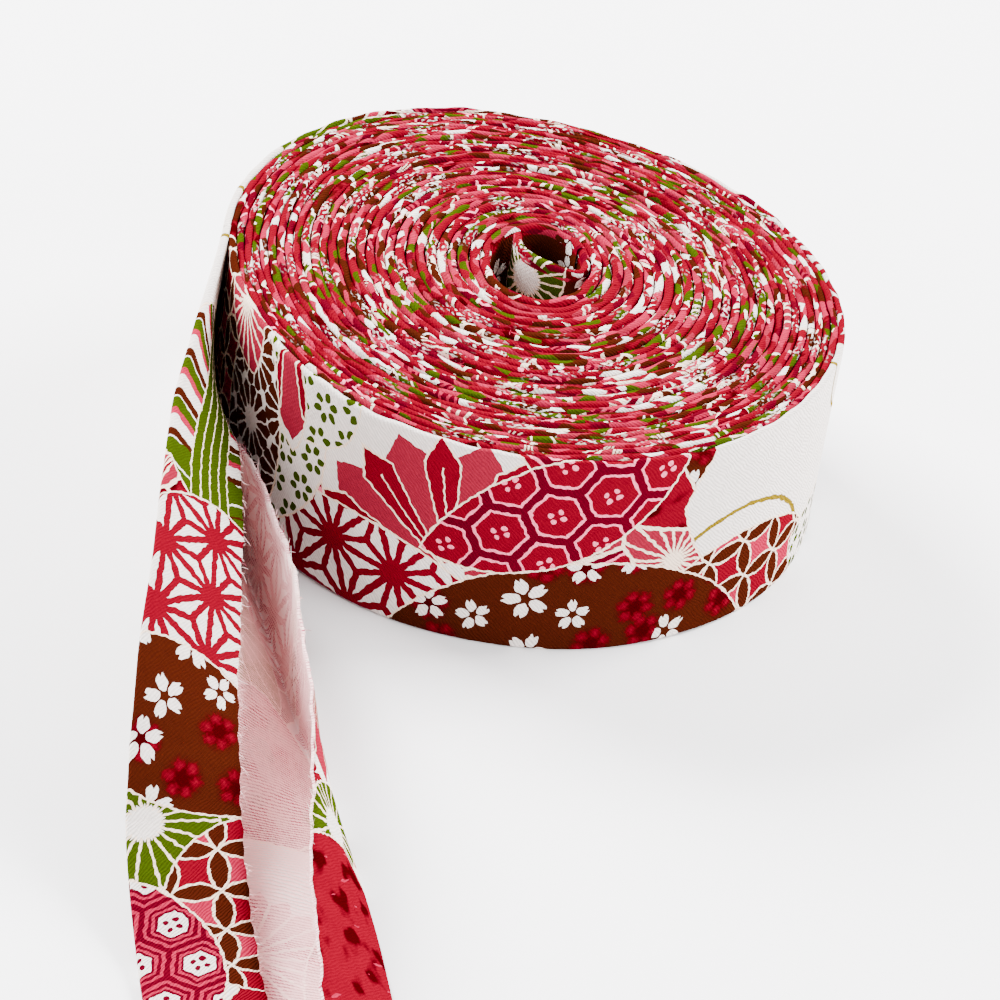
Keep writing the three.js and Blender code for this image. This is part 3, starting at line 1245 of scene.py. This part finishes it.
@dataclass
class DrawnTape:
    """A stretch of folded tape off the roll, with the cloth's real thickness."""

    name: str
    stations: tuple[Station, ...]
    start_along: float
    direction: float = 1.0
    cloth: float = 0.34
    fold_radius: float = 0.31
    flap: float = 12.0
    panel: float = 25.0
    sections: int = 200
    ripple: float = 1.0
    bend_points: int = 7
    flap_points: int = 10
    panel_points: int = 12
    length: float = field(init=False, default=0.0)
    strip: StripMesh | None = field(init=False, default=None)

    def edge(self, fold: float, width: float) -> tuple[np.ndarray, np.ndarray, np.ndarray]:
        """One folded edge's middle line, from the panel round the fold to the raw edge.

        Args:
            fold: How far the flap is folded over, in radians.
            width: The flap's width.

        Returns:
            Rows of across and in, the turn of the normal at each, and the length run so far.
        """
        middle = self.fold_radius + self.cloth / 2
        bend = np.linspace(0, fold, self.bend_points)
        arc = middle - self.fold_radius * np.stack([np.sin(bend), np.cos(bend)], 1)
        steps = np.linspace(0, 1, self.flap_points + 1)[1:, None] * (width - middle)
        curl = fold + np.radians(6.0) * (steps / width) * self.ripple
        flap = arc[-1] + steps * np.concatenate([-np.cos(curl), np.sin(curl)], 1)
        points = np.concatenate([arc, flap])
        turn = np.concatenate([bend, np.full(len(flap), fold)])
        run = np.concatenate([[0], np.cumsum(np.linalg.norm(np.diff(points, axis=0), axis=1))])
        return points, turn, run

    def section(self, low: float, top: float, trims: tuple[float, float]) -> tuple[np.ndarray, np.ndarray]:
        """The closed outline of the folded tape.

        Args:
            low: Fold of the lower flap, in radians.
            top: Fold of the upper flap, in radians.
            trims: How much wider each flap is here.

        Returns:
            Rows of across and in round the outline, and the place across for each.
        """
        low_line, low_turn, low_run = self.edge(low, self.flap + trims[0])
        top_line, top_turn, top_run = self.edge(top, self.flap + trims[1])
        inner = np.linspace(0, 1, self.panel_points + 2)[1:-1, None]
        flipped = np.column_stack([self.panel - top_line[:, 0], top_line[:, 1]])
        panel = low_line[0] + (flipped[0] - low_line[0]) * inner
        line = np.concatenate([low_line[::-1], panel, flipped])
        normal = np.concatenate([
            np.column_stack([np.sin(low_turn), np.cos(low_turn)])[::-1],
            np.tile([0.0, 1.0], (len(panel), 1)),
            np.column_stack([-np.sin(top_turn), np.cos(top_turn)]),
        ])
        low_start = low_run[self.bend_points - 1]
        top_start = top_run[self.bend_points - 1]
        across = np.concatenate([
            self.flap - (low_run - low_start / 2)[::-1],
            self.flap + self.panel * (0.02 + 0.96 * inner[:, 0]),
            self.flap + self.panel + (top_run - top_start / 2),
        ])
        outer = line - normal * self.cloth / 2
        inside = line + normal * self.cloth / 2
        return np.concatenate([outer, inside[::-1]]), np.concatenate([across, across[::-1]])

    def smooth(self) -> np.ndarray:
        """The table of stations as a smooth curve, one row for each section."""
        rows = np.array([(s.x, s.y, s.lean, s.low_fold, s.top_fold) for s in self.stations])
        places = np.linspace(0, len(rows) - 1, self.sections + 1)
        index = np.clip(places.astype(int), 0, len(rows) - 2)
        part = (places - index)[:, None]
        before = rows[np.maximum(index - 1, 0)]
        first, second = rows[index], rows[index + 1]
        after = rows[np.minimum(index + 2, len(rows) - 1)]
        return 0.5 * (
            2 * first
            + (second - before) * part
            + (2 * before - 5 * first + 4 * second - after) * part**2
            + (3 * first - before - 3 * second + after) * part**3
        )

    def build(self, printed: bpy.types.Material, wrong: bpy.types.Material) -> bpy.types.Object:
        """Make the stretch.

        Args:
            printed: The printed side.
            wrong: The back of the cloth.

        Returns:
            The piece.
        """
        rows = self.smooth()
        plan = rows[:, :2]
        run = np.gradient(plan, axis=0)
        run /= np.linalg.norm(run, axis=1)[:, None]
        stretch = np.linalg.norm(np.diff(plan, axis=0), axis=1)
        gone = np.concatenate([[0], np.cumsum(stretch)])
        along = self.start_along + self.direction * gone
        settle = np.clip(gone / 25.0, 0, 1) * self.ripple
        low_wave = settle * (1.3 * wobble(gone, (33.0, 19.0), 6) + 0.7 * wobble(gone, (8.3, 5.1), 7))
        top_wave = settle * (1.0 * wobble(gone, (41.0, 15.0), 8))
        low_trim, top_trim = wobble(gone, (21.0, 6.3, 2.2), 9), wobble(gone, (27.0, 7.7, 2.6), 10)
        trims = settle[:, None] * 0.22 * np.column_stack([low_trim, top_trim])
        strip = StripMesh(self.name)
        for i, (x, y, lean_degrees, low, top) in enumerate(rows):
            lean = math.radians(min(max(lean_degrees, 0.0), 90.0))
            outward = np.array([run[i, 1], -run[i, 0], 0.0])
            up = np.array([0.0, 0.0, 1.0])
            across_way = outward * math.cos(lean) + up * math.sin(lean)
            inward = -outward * math.sin(lean) + up * math.cos(lean)
            folds = [math.radians(min(low + low_wave[i], 180)), math.radians(min(top + top_wave[i], 180))]
            outline, across = self.section(*folds, tuple(trims[i]))
            points = np.array([x, y, 0.0]) + outline[:, :1] * across_way + outline[:, 1:] * inward
            points[:, 2] -= points[:, 2].min()
            strip.add(points, np.column_stack([np.full(len(across), along[i]), across]))
        half = len(across) // 2
        slots = np.repeat((0, 1), (half - 1, half + 1))
        LOG.info("%s: %.1f mm along the floor", self.name, gone[-1])
        self.length = float(gone[-1])
        self.strip = strip
        return strip.build([printed, wrong], slots, closed=True)


@dataclass
class FrayedThreads:
    """Short loose threads along the raw edges of a stretch of tape."""

    source: DrawnTape
    count: int = 420
    thickness: float = 0.035
    longest: float = 1.1

    def build(self, material: bpy.types.Material) -> bpy.types.Object:
        """Make the threads as thin three-sided hairs.

        Args:
            material: Their finish.

        Returns:
            The piece.
        """
        rng = np.random.default_rng(SEED)
        rings, strips = self.source.strip.rings, self.source.strip.strips
        half = len(rings[0]) // 2
        mesh = bmesh.new()
        layer = mesh.loops.layers.uv.new(STRIP_MAP)
        for _ in range(self.count):
            r = int(rng.integers(4, len(rings) - 2))
            edge, inner = (0, 1) if rng.random() < 0.5 else (half - 1, half - 2)
            root = rings[r][edge]
            out = root - rings[r][inner]
            out = out / np.linalg.norm(out)
            slide = rings[r + 1][edge] - root
            slide = slide / np.linalg.norm(slide) * rng.choice((-1.0, 1.0)) * rng.uniform(0.3, 1.1)
            drift = rng.normal(0, 0.35, 3)
            length = rng.uniform(0.25, 1.0) ** 1.5 * self.longest
            place = strips[r][edge] * MM
            rows = []
            for part in (0.0, 0.4, 0.75, 1.0):
                at = root + (out + slide) * length * part + drift * length * part**2
                at[2] = max(at[2], 0.03)
                size = self.thickness * (1 - 0.6 * part)
                rows.append([
                    mesh.verts.new(
                        (
                            np.array(at)
                            + size * np.array([math.cos(a), math.sin(a), math.sin(a + 1)])
                            + np.array(ROLL_MIDDLE)
                        )
                        * MM
                    )
                    for a in (0.0, 2.1, 4.2)
                ])
            faces = [mesh.faces.new(rows[0][::-1]), mesh.faces.new(rows[-1])]
            for low, high in zip(rows, rows[1:]):
                for i in range(3):
                    faces.append(mesh.faces.new([low[i], low[(i + 1) % 3], high[(i + 1) % 3], high[i]]))
            for made in faces:
                made.smooth = True
                for loop in made.loops:
                    loop[layer].uv = place
        bmesh.ops.recalc_face_normals(mesh, faces=mesh.faces)
        return set_down("frayed_threads", mesh, [material])


@dataclass(frozen=True)
class Lamp:
    """A soft square lamp that faces the roll: where it hangs and its side, in metres, and its watts."""

    name: str
    place: tuple[float, float, float]
    size: float
    watts: float


LAMPS = (
    Lamp("back_left_light", (-0.62, 0.52, 0.52), 0.45, 54.0),
    Lamp("back_right_light", (0.66, 0.42, 0.50), 0.45, 31.0),
    Lamp("front_right_light", (0.88, -0.36, 0.40), 0.5, 18.0),
    Lamp("front_left_light", (-0.70, -0.56, 0.46), 0.5, 11.0),
)


@dataclass(frozen=True)
class Studio:
    """The pale floor, the soft light and the camera."""

    focal_pixels: float = 5353.6
    picture_pixels: float = 1000.0
    sensor: float = 36.0
    distance: float = 583.8
    elevation: float = 0.6029
    roll: float = 0.1602
    target: tuple[float, float, float] = (0.42, -25.72, 12.5)
    floor_size: float = 6.0
    floor_colour: Colour = linear(248, 247, 249)
    sky_colour: Colour = (1.0, 0.99, 0.985, 1.0)
    sky_strength: float = 1.05

    def camera(self) -> None:
        """Make the camera at the photograph's angle."""
        back = Vector((0, -math.cos(self.elevation), math.sin(self.elevation)))
        right = Vector((1, 0, 0))
        up = back.cross(right)
        turned_right = right * math.cos(self.roll) + up * math.sin(self.roll)
        turned_up = up * math.cos(self.roll) - right * math.sin(self.roll)
        place = (Vector(self.target) + back * self.distance + ROLL_MIDDLE) * MM
        axes = Matrix((turned_right, turned_up, back)).transposed()
        data = bpy.data.cameras.new("camera")
        data.sensor_width = self.sensor
        data.lens = self.sensor * self.focal_pixels / self.picture_pixels
        made = bpy.data.objects.new("camera", data)
        made.matrix_world = Matrix.Translation(place) @ axes.to_4x4()
        bpy.context.collection.objects.link(made)
        bpy.context.scene.camera = made

    def floor(self) -> None:
        """Make the floor."""
        bpy.ops.object.select_all(action="DESELECT")
        bpy.ops.mesh.primitive_plane_add(size=self.floor_size)
        floor = bpy.context.object
        floor.name = "floor"
        material = bpy.data.materials.new("floor_paper")
        material.use_nodes = True
        shader = material.node_tree.nodes["Principled BSDF"]
        shader.inputs["Base Color"].default_value = self.floor_colour
        shader.inputs["Roughness"].default_value = 0.7
        shader.inputs["Specular IOR Level"].default_value = 0.2
        floor.data.materials.append(material)

    def light(self) -> None:
        """Hang the lamps and set the sky."""
        for lamp in LAMPS:
            data = bpy.data.lights.new(lamp.name, "AREA")
            data.size = lamp.size
            data.energy = lamp.watts
            made = bpy.data.objects.new(lamp.name, data)
            made.location = lamp.place
            made.rotation_euler = (-Vector(lamp.place)).to_track_quat("-Z", "Y").to_euler()
            bpy.context.collection.objects.link(made)
        world = bpy.data.worlds.new("studio")
        world.use_nodes = True
        sky = world.node_tree.nodes["Background"]
        sky.inputs["Color"].default_value = self.sky_colour
        sky.inputs["Strength"].default_value = self.sky_strength
        bpy.context.scene.world = world


LOOSE_END = (
    Station(-35.03, 1.3, 90, 180, 180),
    Station(-34.3, -7.5, 88, 180, 178),
    Station(-31.5, -16.5, 80, 172, 170),
    Station(-27.3, -26.7, 68, 151, 158),
    Station(-22.9, -38.5, 58, 140, 157),
    Station(-19.0, -50.0, 49, 133, 160),
    Station(-15.2, -60.5, 37, 129, 161),
    Station(-11.9, -68.5, 25, 126, 162),
    Station(-8.9, -76.0, 14, 125, 163),
    Station(-5.2, -87.0, 4, 127, 164),
    Station(-2.2, -97.7, 0, 131, 165),
    Station(2.8, -117.0, 0, 137, 167),
)
INNER_END = (
    Station(-2.85, 9.5, 90, 180, 180),
    Station(-2.3, 6.8, 90, 180, 180),
    Station(-0.5, 4.9, 90, 180, 180),
    Station(1.7, 3.7, 90, 180, 180),
    Station(3.8, 2.9, 90, 180, 180),
    Station(5.4, 3.1, 90, 180, 180),
    Station(6.2, 4.5, 90, 180, 180),
    Station(6.15, 6.6, 90, 180, 180),
    Station(5.5, 8.8, 90, 180, 180),
)


def declare(piece: bpy.types.Object, node: str) -> None:
    """Tell the frame what a stretch of tape is.

    Args:
        piece: The piece.
        node: The solid that it stands for.
    """
    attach(piece, "root")
    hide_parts(node)
    LOG.info("%s: %d faces", piece.name, len(piece.data.polygons))


def main() -> None:
    """Build the roll, its two ends and the studio."""
    logging.basicConfig(level=logging.INFO, format="%(message)s")
    studio = Studio()
    studio.camera()
    book = MotifBook()
    weave = Weave()
    outer_print = Print(book, "outer_print", fields_between(FOLDS_TO, LEAVES_ROLL), False).tree
    folded_print = Print(book, "folded_print", (), True).tree
    inner_print = Print(book, "inner_print", fields_between(-math.inf, FOLDS_FROM), True).tree
    loose_print = Print(book, "loose_print", fields_between(LEAVES_ROLL, math.inf), False).tree
    inner_side = PrintedSide("inner_printed").material(inner_print, weave)
    turns = WoundTurns(RollForm())
    wound = turns.build([
        inner_side,
        PrintedSide("folded_printed").material(folded_print, weave),
        PrintedSide("outer_printed").material(outer_print, weave),
    ])
    loose = DrawnTape("loose_tape", LOOSE_END, start_along=0.0)
    loose_side = PrintedSide("loose_printed").material(loose_print, weave)
    loose_wrong = WrongSide("loose_wrong").material(loose_print, weave)
    loose_piece = loose.build(loose_side, loose_wrong)
    inner = DrawnTape("inner_tape", INNER_END, start_along=-turns.length - 16.0, sections=60, ripple=0.0)
    inner_piece = inner.build(inner_side, WrongSide("inner_wrong").material(inner_print, weave))
    threads = FrayedThreads(loose).build(loose_wrong)
    declare(wound, "wound_roll")
    declare(loose_piece, "loose_end")
    declare(inner_piece, "inner_end")
    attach(threads, "root")
    studio.floor()
    studio.light()


if __name__ == "__main__":
    main()
